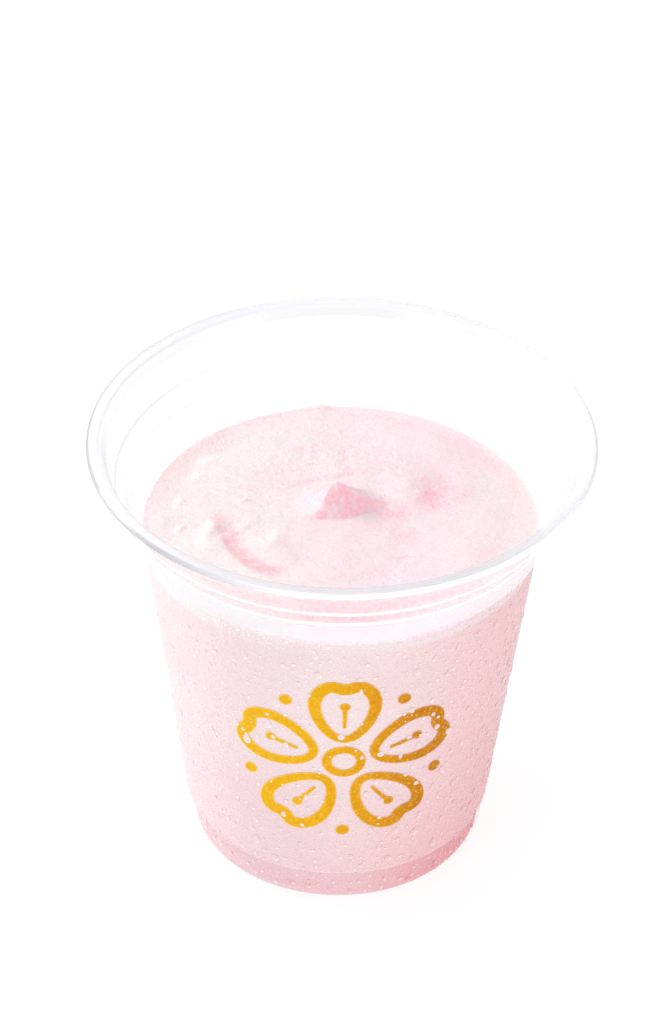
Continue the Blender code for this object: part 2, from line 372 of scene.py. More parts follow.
def shake_material(name, scatter):
    """Thick pale pink shake: soft light inside it, uneven colour, and an icy grain."""
    material, tree, shader = new_material(name)
    coordinates = tree.nodes.new("ShaderNodeTexCoord")
    split = tree.nodes.new("ShaderNodeSeparateXYZ")
    tree.links.new(coordinates.outputs["Object"], split.inputs["Vector"])

    clouds = node(
        tree,
        "ShaderNodeTexNoise",
        {"Scale": 38.0, "Detail": 3.0, "Roughness": 0.55, "Distortion": 0.9},
    )
    tree.links.new(coordinates.outputs["Object"], clouds.inputs["Vector"])
    side = node(
        tree,
        "ShaderNodeMapRange",
        {"From Min": -0.036, "From Max": 0.036, "To Min": 0.0, "To Max": 1.0},
    )
    tree.links.new(split.outputs["X"], side.inputs["Value"])
    # the surface: cream on the left, pinker in the middle, peachy on the right
    top = ramp(tree, side.outputs["Result"], TOP_TONES)
    wall = wall_tone_and_shade(tree, split)
    height = node(
        tree,
        "ShaderNodeMapRange",
        {"From Min": 0.0704, "From Max": 0.0714, "To Min": 0.0, "To Max": 1.0},
    )
    tree.links.new(split.outputs["Z"], height.inputs["Value"])
    body = mix_colours(tree, "MIX", height.outputs["Result"], wall, top.outputs["Color"])
    cloudy = ramp(
        tree,
        clouds.outputs["Fac"],
        ((0.30, (0.995, 0.945, 0.955)), (0.52, (1.0, 1.0, 1.0)), (0.70, (1.0, 1.0, 1.0))),
    )
    body = mix_colours(tree, "MULTIPLY", 1.0, body, cloudy.outputs["Color"])
    # fine icy specks
    ice = node(tree, "ShaderNodeTexNoise", {"Scale": 1700.0, "Detail": 2.0})
    tree.links.new(coordinates.outputs["Object"], ice.inputs["Vector"])
    specks = ramp(
        tree,
        ice.outputs["Fac"],
        ((0.34, (0.990, 0.925, 0.945)), (0.50, (1.0, 0.985, 0.99)), (0.66, (1.0, 1.0, 1.0))),
    )
    body = mix_colours(tree, "MULTIPLY", 1.0, body, specks.outputs["Color"])
    # painted shade: creases and steep shaded faces are painted deeper pink; crests and lumps are paler, partly whipped
    # cream and partly painted highlight
    for name, tone in (("painted_shade_and_blush", SHADE_AND_BLUSH_TONE), ("pale_and_highlight", PALE_AND_HIGHLIGHT_TONE)):
        share = node(tree, "ShaderNodeAttribute", attribute_name=name)
        body = mix_colours(tree, "MULTIPLY" if name == "painted_shade_and_blush" else "MIX", share.outputs["Fac"], body, tone)
    tree.links.new(body, shader.inputs["Base Color"])

    grain = node(tree, "ShaderNodeTexNoise", {"Scale": 2200.0, "Detail": 2.0})
    tree.links.new(coordinates.outputs["Object"], grain.inputs["Vector"])
    lumps = node(tree, "ShaderNodeTexNoise", {"Scale": 650.0, "Detail": 3.0})
    tree.links.new(coordinates.outputs["Object"], lumps.inputs["Vector"])
    both = node(tree, "ShaderNodeMath", operation="ADD")
    tree.links.new(grain.outputs["Fac"], both.inputs[0])
    tree.links.new(lumps.outputs["Fac"], both.inputs[1])
    bump = node(tree, "ShaderNodeBump", {"Strength": 0.55, "Distance": 0.0003})
    tree.links.new(both.outputs["Value"], bump.inputs["Height"])
    tree.links.new(bump.outputs["Normal"], shader.inputs["Normal"])
    rough = node(
        tree,
        "ShaderNodeMapRange",
        {"From Min": 0.35, "From Max": 0.65, "To Min": 0.38, "To Max": 0.60},
    )
    tree.links.new(lumps.outputs["Fac"], rough.inputs["Value"])
    tree.links.new(rough.outputs["Result"], shader.inputs["Roughness"])
    shader.inputs["IOR"].default_value = 1.36
    shader.inputs["Subsurface Weight"].default_value = scatter
    shader.inputs["Subsurface Radius"].default_value = (1.0, 0.35, 0.42)
    shader.inputs["Subsurface Scale"].default_value = 0.0026
    return material


def ink(name, thin):
    """Gold print, a little uneven in tone, deeper towards the right as painted shade, away from the key light, with
    fine light specks of mist over it; paler where thin.
    """
    material, tree, shader = new_material(name)
    coordinates = tree.nodes.new("ShaderNodeTexCoord")
    mottle = node(tree, "ShaderNodeTexNoise", {"Scale": 900.0, "Detail": 3.0})
    tree.links.new(coordinates.outputs["Object"], mottle.inputs["Vector"])
    split = tree.nodes.new("ShaderNodeSeparateXYZ")
    tree.links.new(coordinates.outputs["Object"], split.inputs["Vector"])
    across = node(tree, "ShaderNodeMapRange", {"From Min": -0.022, "From Max": 0.022})
    tree.links.new(split.outputs["X"], across.inputs["Value"])
    # painted shade: the gold deepens towards the right, away from the key light
    tone = ramp(
        tree,
        across.outputs["Result"],
        tuple(
            (place, (min(red * thin**0.4, 1.0), green * thin, blue + 0.20 * (thin - 1)))
            for place, (red, green, blue) in (
                (0.15, (0.865, 0.475, 0.004)),
                (0.40, (0.825, 0.420, 0.003)),
                (0.63, (0.730, 0.325, 0.003)),
                (0.86, (0.560, 0.200, 0.003)),
            )
        ),
    )
    patchy = ramp(
        tree,
        mottle.outputs["Fac"],
        ((0.3, (0.90, 0.86, 0.80)), (0.55, (1.0, 1.0, 1.0)), (0.75, (1.0, 1.0, 1.0))),
    )
    colour = mix_colours(tree, "MULTIPLY", 1.0, tone.outputs["Color"], patchy.outputs["Color"])
    mist = node(tree, "ShaderNodeTexNoise", {"Scale": 1900.0, "Detail": 1.0})
    tree.links.new(coordinates.outputs["Object"], mist.inputs["Vector"])
    specks = node(tree, "ShaderNodeMapRange", {"From Min": 0.54, "From Max": 0.68, "To Min": 0.0, "To Max": 0.42})
    tree.links.new(mist.outputs["Fac"], specks.inputs["Value"])
    colour = mix_colours(tree, "MIX", specks.outputs["Result"], colour, (1.0, 0.62, 0.12))
    tree.links.new(colour, shader.inputs["Base Color"])
    shader.inputs["Roughness"].default_value = 0.5
    shader.inputs["Specular IOR Level"].default_value = 0.06
    return material


# ---------------------------------------------------------------- the cup
def bulge(z, centre, half):
    """A smooth bump of height 1 and that half height along z."""
    return np.exp(-(((z - centre) / half) ** 2))


WALL_Z = (FOOT_TOP[1], BODY_LOW[1] - 0.25, BODY_LOW[1] + 0.30, BODY_TOP[1] - 0.45, BODY_TOP[1] + 0.30, LEDGE[1] - 0.15, LEDGE[1] + 0.45, BEAD_B[1] - 0.2, BEAD_A[1] + 0.1, NECK_TOP[1])
WALL_R = (FOOT_TOP[0], BODY_LOW[0] - 0.30, BODY_LOW[0] + 0.02, BODY_TOP[0] - 0.03, BODY_TOP[0] + 0.30, LEDGE[0] - 0.30, LEDGE[0], BEAD_B[0] - 0.10, BEAD_A[0] - 0.05, NECK_TOP[0])


def outer_r(z):
    """Outer radius of the wall at height z, between the foot's top and the rim, in mm."""
    z = np.asarray(z, float)
    total = 0.0
    offsets = np.linspace(-0.42, 0.42, 9)  # rounds the corners
    for d in offsets:
        total = total + np.interp(z + d, WALL_Z, WALL_R)
    r = total / len(offsets)
    r = r + 0.26 * bulge(z, BEAD_A[1] + 0.25, 0.48) + 0.24 * bulge(z, BEAD_B[1] + 0.1, 0.45)
    return r


def inner_r(z):
    """Inner radius of the wall there: the formed sheet hardly shows the fine beads inside."""
    z = np.asarray(z, float)
    total = 0.0
    offsets = np.linspace(-0.6, 0.6, 9)
    for d in offsets:
        total = total + np.interp(z + d, WALL_Z, WALL_R)
    r = total / len(offsets) - WALL
    return r + 0.16 * bulge(z, BEAD_A[1] + 0.25, 0.6) + 0.15 * bulge(z, BEAD_B[1] + 0.1, 0.6)


def arc(cr, cz, radius, start, end, count, high=None):
    high = radius if high is None else high
    angles = np.radians(np.linspace(start, end, count))
    return [(cr + radius * cos(a), cz + high * sin(a)) for a in angles]


def wall_heights():
    parts = [
        np.linspace(FOOT_TOP[1] + 0.1, BODY_LOW[1] + 1.2, 14),
        np.linspace(BODY_LOW[1] + 1.2, BODY_TOP[1] - 1.2, 34)[1:],
        np.linspace(BODY_TOP[1] - 1.2, LEDGE[1] + 1.2, 22)[1:],
        np.linspace(LEDGE[1] + 1.2, BEAD_B[1] - 1.0, 5)[1:],
        np.linspace(BEAD_B[1] - 1.0, BEAD_B[1] + 1.2, 15)[1:],
        np.linspace(BEAD_B[1] + 1.2, BEAD_A[1] - 0.9, 4)[1:],
        np.linspace(BEAD_A[1] - 0.9, BEAD_A[1] + 1.4, 15)[1:],
        np.linspace(BEAD_A[1] + 1.4, NECK_TOP[1], 7)[1:],
    ]
    return np.concatenate(parts)


def build_cup():
    """One closed shell: up the inside from the floor's middle, over the open roll and down the outside."""
    heights = wall_heights()
    floor = RECESS + WALL
    section = [(0.0, floor), (8.0, floor), (16.0, floor), (STAND_IN - 0.5, floor), (STAND_IN + 0.35, WALL)]
    section += arc(STAND_OUT, HEEL_R, HEEL_R - WALL, -90, 0, 10)
    section += [(float(inner_r(z)), float(z)) for z in heights]
    inner_end = len(section)
    centre = RIM_R - CURL_W
    section += arc(centre, RIM_Z, CURL_W, 176, CURL_END, 40, CURL_H)
    section += arc(
        centre + (CURL_W - CURL_WALL / 2) * cos(radians(CURL_END)),
        RIM_Z + (CURL_H - CURL_WALL / 2) * sin(radians(CURL_END)),
        CURL_WALL / 2,
        CURL_END - 30,
        CURL_END - 150,
        4,
    )
    section += arc(centre, RIM_Z, CURL_W - CURL_WALL, CURL_END, 166, 30, CURL_H - CURL_WALL)
    outer_start = len(section)
    section += [(float(outer_r(z)), float(z)) for z in heights[::-1]]
    section += arc(STAND_OUT, HEEL_R, HEEL_R, 0, -90, 14)
    section += [(STAND_IN + 1.6, 0.0), (STAND_IN + 0.35, 0.0)]
    section += [(STAND_IN, 0.06), (STAND_IN - 0.25, 0.30), (STAND_IN - 0.6, 0.92), (STAND_IN - 1.0, 1.14), (STAND_IN - 1.5, RECESS)]
    section += [(14.0, RECESS), (7.0, RECESS), (0.0, RECESS)]
    points, faces, bands = turned(section, 240)
    kinds = []
    for n in range(len(section) - 1):
        z = (section[n][1] + section[n + 1][1]) / 2
        outside = n >= outer_start
        if inner_end + 17 <= n < inner_end + 29:
            kinds.append(5)
        elif inner_end + 29 <= n < outer_start - 31:
            kinds.append(6)
        elif inner_end - 1 <= n < outer_start - 1:
            kinds.append(2)
        # painted highlight bands on the beads, set on their upper sides, which face the light
        elif outside and (abs(z - BEAD_A[1] - 0.12) < 0.56 or abs(z - BEAD_B[1] - 0.55) < 0.50):
            kinds.append(3)
        elif outside and 0.5 < z < BEAD_B[1]:
            kinds.append(1)
        else:
            kinds.append(0)
    slots = [kinds[n] for n in bands]
    # painted highlight: the beads shine broadly at the front, and show as a thin painted line at the back, greyer at
    # the sides
    for n, face in enumerate(faces):
        if slots[n] == 3 and points[face[0]][1] > -13.0:
            z = (points[face[0]][2] + points[face[2]][2]) / 2
            thin = min(abs(z - BEAD_A[1] - 0.25), abs(z - BEAD_B[1] - 0.2)) < 0.26
            slots[n] = 4 if thin else 0
    # the roll and the wall lean a little, as formed sheet does
    points = np.array(points)
    angle = np.arctan2(points[:, 1], points[:, 0])
    radius = np.hypot(points[:, 0], points[:, 1])
    lift = smooth((points[:, 2] - 70) / 22)
    wobble = 0.05 * np.sin(2 * angle + 0.7) + 0.03 * np.sin(3 * angle + 2.0)
    radius = radius - lift * (0.08 - wobble)
    points[:, 0], points[:, 1] = radius * np.cos(angle), radius * np.sin(angle)
    # painted shade: the rim, the roll's outer flank and its underside are greyer where less light falls
    rim_shade_tones = (
        (0.0, (0.88, 0.88, 0.91)),
        (0.15, (0.82, 0.81, 0.86)),
        (0.30, (0.73, 0.72, 0.75)),
        (0.45, (0.67, 0.68, 0.69)),
        (0.75, (0.65, 0.66, 0.68)),
        (0.92, (0.74, 0.74, 0.78)),
        (1.0, (0.88, 0.88, 0.91)),
    )
    flank_shade_tones = (
        (0.0, (0.50, 0.49, 0.51)),
        (0.16, (0.46, 0.44, 0.48)),
        (0.28, (0.70, 0.68, 0.73)),
        (0.40, (1.0, 1.0, 1.0)),
        (0.92, (1.0, 1.0, 1.0)),
        (1.0, (0.70, 0.69, 0.74)),
    )
    bead_back_shade_tones = ((0.50, (0.56, 0.56, 0.60)), (0.75, (0.70, 0.70, 0.74)), (0.90, (0.95, 0.95, 0.97)))
    materials = [
        film_plastic("clear_plastic", (0.80, 0.84, 0.88), (0.64, 0.63, 0.68), 0.06, 0.26, wavy=True, turns=(0.62, 0.95)),
        mist_and_painted_highlight(),
        film_plastic("rim_plastic_painted_shade", (1.0, 1.0, 1.0), (0.70, 0.69, 0.73), 0.44, 0.62, turns=(0.66, 0.88), side_shade=rim_shade_tones),
        film_plastic("bead_painted_highlight", (1.0, 1.0, 1.0), (1.0, 1.0, 1.0), 0.88, 0.88),
        film_plastic("bead_back_painted_highlight_and_shade", (1.0, 1.0, 1.0), (1.0, 1.0, 1.0), 0.42, 0.42, side_shade=bead_back_shade_tones, axis="Y"),
        film_plastic("rim_edge_plastic_painted_shade", (1.0, 1.0, 1.0), (0.94, 0.94, 0.95), 0.66, 0.72, turns=(0.40, 0.80), side_shade=flank_shade_tones),
        film_plastic("rim_under_plastic_painted_shade", (1.0, 1.0, 1.0), (0.96, 0.96, 0.97), 0.40, 0.45, turns=(0.50, 0.95), side_shade=flank_shade_tones),
    ]
    return mesh_object("cup_shell", points, faces, materials, slots)


# ---------------------------------------------------------------- the drink
FOLDS = (
    # centre x, centre y, start deg, end deg, start radius, end radius, depth, half width, share of the depth at the start
    (1.0, 6.0, 62.0, -8.0, 23.8, 16.4, 0.30, 2.4, 0.45),
    (-1.0, 0.0, 172.0, 240.0, 21.5, 18.6, 0.48, 1.9, 0.75),
    (0.0, 0.0, 158.0, 72.0, 15.6, 15.0, 0.14, 0.80, 0.60),
    (0.0, 1.0, 20.0, -95.0, 34.0, 30.0, 0.18, 3.4, 1.0),
    (0.0, 0.0, 110.0, 205.0, 34.5, 31.0, 0.16, 3.2, 1.0),
    (0.0, 2.0, -150.0, -20.0, 13.0, 15.0, 0.22, 2.2, 1.0),
)
MOUNDS = (
    # centre x, y, reach along and across, turned by deg, height
    (11.5, 11.5, 7.0, 4.0, 50.0, 0.50),
    (-13.4, -4.8, 3.4, 2.0, 55.0, 0.32),
    (-20.3, -2.5, 2.8, 1.2, 45.0, 0.36),
    (-25.2, -2.4, 3.4, 1.5, 62.0, 0.62),
    (-26.2, -7.2, 2.8, 1.5, 105.0, 0.45),
    (24.0, -7.0, 7.5, 6.0, 90.0, 0.55),
    (-3.0, 21.0, 13.0, 6.0, 0.0, 0.45),
    (4.0, -16.0, 11.0, 6.0, 0.0, 0.45),
    (18.6, 9.4, 4.6, 4.0, 70.0, -0.18),
    (13.0, -3.0, 6.0, 2.4, -32.0, -0.40),
    (12.8, -10.1, 1.9, 0.8, 10.0, -0.30),
    (-31.6, 6.7, 1.4, 0.9, 80.0, 0.32),
    (-31.4, -1.1, 1.3, 0.9, 60.0, 0.32),
    (-28.5, 15.3, 2.2, 1.0, 60.0, 0.28),
    (-26.3, 20.0, 2.2, 1.0, 50.0, 0.28),
    (-18.6, 7.5, 0.8, 0.6, 0.0, 0.38),
)
# the mounds that are paler, partly whipped cream and partly painted highlight, and how much
PALE_AND_HIGHLIT_MOUNDS = {1: 0.75, 2: 0.45, 3: 0.9, 4: 0.8, 0: 0.35, 11: 0.9, 12: 0.9, 13: 0.7, 14: 0.7, 15: 1.0}
# the tip's foot: the steep face's foot at the front, and the longer slopes' foot at the back
PEAK_FRONT = ((-4.6, 1.1), (1.6, 1.3), (9.6, 6.3))
PEAK_BACK = ((10.8, 6.6), (5.5, 13.5), (-6.5, 14.0), (-13.0, 7.5), (-9.5, -1.6), (-4.0, -1.6))
PEAK_FALL = (1.5, 2.0, 2.8, 3.0, 3.0)  # how hollow each of the back's slopes is


def fold_height(x, y, fold):
    cx, cy, start, end, r0, r1, depth, half, first = fold
    span = end - start
    turn = (np.degrees(np.arctan2(y - cy, x - cx)) - start) * (1 if span > 0 else -1)
    along = ((turn + 100) % 360 - 100) / abs(span)
    fade = smooth((along + 0.12) / 0.32) * smooth((1.12 - along) / 0.32)
    fade = fade * (first + (1 - first) * smooth((along - 0.15) / 0.5))
    fade = np.where((along > -0.25) & (along < 1.25), fade, 0.0)
    off = (np.hypot(x - cx, y - cy) - r0 - (r1 - r0) * along) / half
    groove = np.exp(-(off**2))
    banks = 0.55 * np.exp(-((off - 1.7) ** 2)) + 0.35 * np.exp(-((off + 1.8) ** 2) / 1.6)
    return depth * fade * (banks - groove)


def mound_share(x, y, mound):
    mx, my, along, across, turn, _ = mound
    c, s = cos(radians(turn)), sin(radians(turn))
    u, v = (x - mx) * c + (y - my) * s, -(x - mx) * s + (y - my) * c
    return np.exp(-((u / along) ** 2) - (v / across) ** 2)


def least(values, crisp):
    """A rounded minimum."""
    return -np.log(sum(np.exp(-crisp * v) for v in values)) / crisp


def peak_faces(x, y, foot):
    """Share of the way from each foot line to the tip."""
    tx, ty = PEAK
    for (ax, ay), (bx, by) in zip(foot, foot[1:]):
        nx, ny = ay - by, bx - ax
        yield ((x - ax) * nx + (y - ay) * ny) / ((tx - ax) * nx + (ty - ay) * ny)


def peak_slopes(x, y):
    """Share of the tip's height on the steep front, and on each slope behind and to the left."""
    front = np.clip(least(list(peak_faces(x, y, PEAK_FRONT)), 26.0), 0, None) ** 1.35
    back = [np.clip(face, 0, None) ** fall for face, fall in zip(peak_faces(x, y, PEAK_BACK), PEAK_FALL)]
    return front, back


def peak_height(x, y):
    front, back = peak_slopes(x, y)
    return PEAK_H * np.clip(least([front] + back, 30.0), 0, None) / 0.94


def wander(x, y):
    """Where the folds' lines run, as they wander a little."""
    wx = x + 0.9 * noise(x / 9, y / 9, 0, 11) + 0.30 * noise(x / 2.6, y / 2.6, 0, 12)
    wy = y + 0.9 * noise(x / 9, y / 9, 0, 21) + 0.30 * noise(x / 2.6, y / 2.6, 0, 22)
    return wx, wy


def surface_height(x, y, edge_r, grainy=True):
    """Height of the drink's surface over z = 0, in mm."""
    wx, wy = wander(x, y)
    height = sum(fold_height(wx, wy, fold) for fold in FOLDS)
    for mound in MOUNDS:
        height = height + mound[-1] * mound_share(wx, wy, mound)
    height = height + 0.30 * noise(x / 11, y / 11, 0, 31) + 0.14 * noise(x / 4.5, y / 4.5, 0, 32)
    px = x + 0.26 * noise(x / 1.8, y / 1.8, 0, 41) + 0.12 * noise(x / 0.8, y / 0.8, 0, 43)
    py = y + 0.26 * noise(x / 1.8, y / 1.8, 0, 42) + 0.12 * noise(x / 0.8, y / 0.8, 0, 44)
    peak = peak_height(px, py)
    height = height * np.clip(1 - peak / 1.5, 0, 1) + peak
    if grainy:
        # icy grain, coarse behind the tip and fine elsewhere
        coarse = np.exp(-(((x + 3) / 15) ** 2) - ((y - 19) / 9) ** 2)
        grain = noise(x / 0.85, y / 0.85, 0, 51) + 0.6 * noise(x / 0.45, y / 0.45, 0, 52)
        patches = 0.5 + 0.5 * noise(x / 7, y / 7, 0, 53)
        height = height + (0.030 + 0.030 * patches + 0.040 * coarse) * grain
        height = height + 0.07 * (0.5 + coarse) * noise(x / 1.9, y / 1.9, 0, 54)
    edge = edge_r - np.hypot(x, y)
    height = height * smooth(edge / 5.0) + 0.50 * np.exp(-edge / 1.6)
    return FILL_Z + height


def tone_shares(x, y, edge_r):
    """Where the surface is deeper pink and where it is paler, from 0 to 1 each: the deeper pink is mostly painted
    shade, on slopes turned from the light, in creases, hollows, grain pits and cast shadows, with a little blush round
    the tip; the paler is partly whipped cream and partly a painted highlight on the tip's ridge and the lumps.
    """
    step = 0.2
    rise_x = (surface_height(x + step, y, edge_r, False) - surface_height(x - step, y, edge_r, False)) / (2 * step)
    rise_y = (surface_height(x, y + step, edge_r, False) - surface_height(x, y - step, edge_r, False)) / (2 * step)
    wx, wy = wander(x, y)
    # painted shade: deeper pink on slopes turned away from the key light
    away = np.maximum(-0.6 * rise_x + 0.8 * rise_y, -0.9 * rise_x + 0.3 * rise_y)
    painted_shade_and_blush = 0.80 * smooth((away - 0.02) / 0.55)
    # painted: slopes facing the light are a little pinker too, but for the thin ridge that runs down from the tip,
    # which gets a painted highlight instead
    lit = smooth((0.9 * rise_x - 0.35 * rise_y - 0.15) / 0.6)
    edge = edge_r - np.hypot(x, y)
    painted_shade_and_blush = np.maximum(painted_shade_and_blush, 0.42 * lit * smooth((edge - 4) / 4))
    # painted shade in the creases and hollows, over the left crease's shaded bank, on the dimple's shaded side and in
    # the tip's cast shadow at its right foot
    painted_shade_and_blush = np.maximum(painted_shade_and_blush, 0.85 * smooth(-fold_height(wx, wy, FOLDS[1]) / 0.44))
    painted_shade_and_blush = np.maximum(painted_shade_and_blush, 0.62 * smooth(-fold_height(wx + 1.3, wy - 0.3, FOLDS[1]) / 0.22))
    painted_shade_and_blush = np.maximum(painted_shade_and_blush, 0.36 * smooth(-fold_height(wx, wy, FOLDS[0]) / 0.36))
    for n in (8, 9, 10):
        painted_shade_and_blush = np.maximum(painted_shade_and_blush, (0.95, 0.34, 0.45)[n - 8] * mound_share(wx, wy, MOUNDS[n]))
    painted_shade_and_blush = np.maximum(painted_shade_and_blush, 0.55 * mound_share(wx, wy, (18.4, 11.6, 6.0, 3.8, 85.0, 0)))
    painted_shade_and_blush = np.maximum(painted_shade_and_blush, 0.60 * mound_share(wx, wy, (10.0, 4.2, 4.2, 2.4, 20.0, 0)))
    # painted shade: a pinker band along the wall at the back and left, fading at the front, and a pinker strip near the
    # front wall
    wall_band_shade = np.exp(-(((edge - 2.6) / 1.8) ** 2)) * smooth((y + 10) / 25)
    inside = -np.sqrt(np.clip(RIM_R**2 - x**2, 0, None)) + 26.5 - y
    middle = np.exp(-(((x - 6) / np.where(x < 6, 24, 13)) ** 2))
    front_wall_shade = (0.48 + 0.28 * np.exp(-(((edge - 9) / 2.5) ** 2))) * smooth((edge - 3.5) / 4)
    front_wall_shade = front_wall_shade * smooth(inside / 3.0) * (0.10 + 0.90 * middle)
    front_wall_shade = front_wall_shade + 0.55 * np.exp(-((edge / 2.4) ** 2)) * smooth((x - 8) / 10) * smooth((-y - 2) / 8)
    painted_shade_and_blush = np.maximum(painted_shade_and_blush, np.maximum((0.10 + 0.12 * smooth((x + 5) / 20)) * wall_band_shade, front_wall_shade))
    # painted shade in the pits of the icy grain, and a pink blush round the tip
    coarse = 0.35 + np.exp(-(((x + 3) / 15) ** 2) - ((y - 19) / 9) ** 2)
    pits = np.clip(-noise(x / 0.85, y / 0.85, 0, 51) - 0.15, 0, 1)
    blush = np.exp(-(((x - 4) / 9) ** 2) - ((y + 1) / 4.5) ** 2)
    painted_shade_and_blush = painted_shade_and_blush + 0.42 * coarse * pits + 0.12 * blush
    # ragged rather than airbrushed
    tall = 0.8 * peak_height(x, y)
    ragged = 0.84 + 0.75 * noise(x / 0.45, y / 0.45, tall / 0.45, 81) + 0.30 * noise(x / 1.4, y / 1.4, tall / 1.4, 82)
    front, back = peak_slopes(x, y)
    crest = np.exp(-(((front - least(back, 30.0)) / 0.055) ** 2)) * smooth((front - 0.10) / 0.30) * (x < PEAK[0] + 0.4)
    painted_shade_and_blush = np.clip(painted_shade_and_blush * ragged, 0, 1) * (1 - 0.9 * crest)
    # painted highlight along the tip's ridge, and on the listed mounds, partly whipped cream
    pale_and_highlight = crest.copy()
    for n, share in PALE_AND_HIGHLIT_MOUNDS.items():
        pale_and_highlight = np.maximum(pale_and_highlight, share * mound_share(wx, wy, MOUNDS[n]))
    pale_and_highlight = np.clip(pale_and_highlight * (0.8 + 0.5 * noise(x / 1.1, y / 1.1, 0, 83)) - painted_shade_and_blush, 0, 1)
    return painted_shade_and_blush, pale_and_highlight


def build_shake(materials):
    n = 250
    edge_r = float(inner_r(FILL_Z + 0.6)) + 0.12
    a = np.linspace(-1, 1, n + 1)
    gx, gy = np.meshgrid(a, a, indexing="ij")
    # square grid laid evenly over a disc
    with np.errstate(divide="ignore", invalid="ignore"):
        wide = np.abs(gx) >= np.abs(gy)
        r = np.where(wide, gx, gy)
        phi = np.where(wide, (pi / 4) * gy / gx, pi / 2 - (pi / 4) * gx / gy)
    phi = np.where(r == 0, 0.0, phi)
    x = (r * np.cos(phi) * edge_r).ravel()
    y = (r * np.sin(phi) * edge_r).ravel()
    z = surface_height(x, y, edge_r)
    # the edge on the wall is a little uneven, with one small lump at the back
    angle = np.arctan2(y, x)
    rho = np.hypot(x, y)
    near = np.exp(-(edge_r - rho) / 1.2)
    z = z + near * (0.16 * noise(3 * np.cos(angle) * 3, 3 * np.sin(angle) * 3, 0, 61))
    z = z + 0.55 * np.exp(-(((x + 3.9) / 1.6) ** 2)) * near * (y > 0)
    painted_shade_and_blush, pale_and_highlight = tone_shares(x, y, edge_r)
    points = list(np.stack([x, y, z], 1))
    index = np.arange((n + 1) ** 2).reshape(n + 1, n + 1)
    faces = []
    q = np.stack(
        [index[:-1, :-1], index[1:, :-1], index[1:, 1:], index[:-1, 1:]], -1
    ).reshape(-1, 4)
    faces += q.tolist()
    # the border in turn, counter-clockwise seen from above
    border = np.concatenate([index[:, 0], index[-1, 1:], index[-2::-1, -1], index[0, -2:0:-1]])
    bx, by = x[border], y[border]
    ba = np.arctan2(by, bx)
    bz = z[border]
    heights = np.concatenate(
        [
            np.linspace(0.985, 0.90, 5),
            np.linspace(0.88, 0.16, 10),
            np.linspace(0.145, 0.115, 4),
        ]
    )
    rings = [border.tolist()]
    low = FOOT_TOP[1]
    for z_here in FILL_Z * heights:
        zz = np.minimum(bz - 0.05, z_here) if z_here > FILL_Z - 3 else np.full(len(ba), z_here)
        rr = inner_r(np.maximum(zz, low)) + np.where(zz > FILL_Z - 0.4, 0.12, INTO_WALL)
        start = len(points)
        points += list(np.stack([rr * np.cos(ba), rr * np.sin(ba), zz], 1))
        rings.append(list(range(start, start + len(ba))))
    floor = RECESS + WALL - 0.10
    low_part = arc(STAND_OUT, HEEL_R, HEEL_R - WALL + INTO_WALL, 0, -90, 9)
    low_part += [(STAND_IN + 0.35, WALL - INTO_WALL), (STAND_IN - 0.5, floor), (12.0, floor)]
    for r_here, z_here in low_part:
        start = len(points)
        points += list(
            np.stack([r_here * np.cos(ba), r_here * np.sin(ba), np.full(len(ba), z_here)], 1)
        )
        rings.append(list(range(start, start + len(ba))))
    count = len(ba)
    for up, dn in zip(rings, rings[1:]):
        for i in range(count):
            j = (i + 1) % count
            faces.append((up[j], up[i], dn[i], dn[j]))
    middle = len(points)
    points.append(np.array([0.0, 0.0, floor]))
    last = rings[-1]
    for i in range(count):
        faces.append((last[(i + 1) % count], last[i], middle))
    slots = np.ones(len(faces), np.int32)
    slots[: n * n] = 0
    obj = mesh_object("shake", np.array(points), faces, materials, slots)
    on_border = np.zeros(len(points), bool)
    on_border[border] = True
    ends = np.zeros(2 * len(obj.data.edges), np.int32)
    obj.data.edges.foreach_get("vertices", ends)
    crisp = on_border[ends.reshape(-1, 2)].all(1)
    obj.data.attributes.new("sharp_edge", "BOOLEAN", "EDGE").data.foreach_set("value", crisp)
    for name, shares in (("painted_shade_and_blush", painted_shade_and_blush), ("pale_and_highlight", pale_and_highlight)):
        values = np.zeros(len(points), np.float32)
        values[: len(shares)] = shares
        obj.data.attributes.new(name, "FLOAT", "POINT").data.foreach_set("value", values)
    return obj


# ---------------------------------------------------------------- on the body's outside
def on_wall(angle, z, lift):
    r = outer_r(z) + lift
    return np.stack([r * np.cos(angle), r * np.sin(angle), z], -1)


PRINT_Z = 41.5
PRINT_ANGLE = radians(-88.0)


def print_point(u, v, lift):
    """A point of the print's plane, mm right and up from its middle, laid on the tapered wall."""
    z = PRINT_Z + np.asarray(v) * 0.991
    r = outer_r(z)
    return on_wall(PRINT_ANGLE + np.asarray(u) / r, z, lift)


INK_LOW, INK_HIGH, INK_EDGE = -0.06, 0.03, 0.20  # depths in the wall's outer face, and width of the paler edge, mm


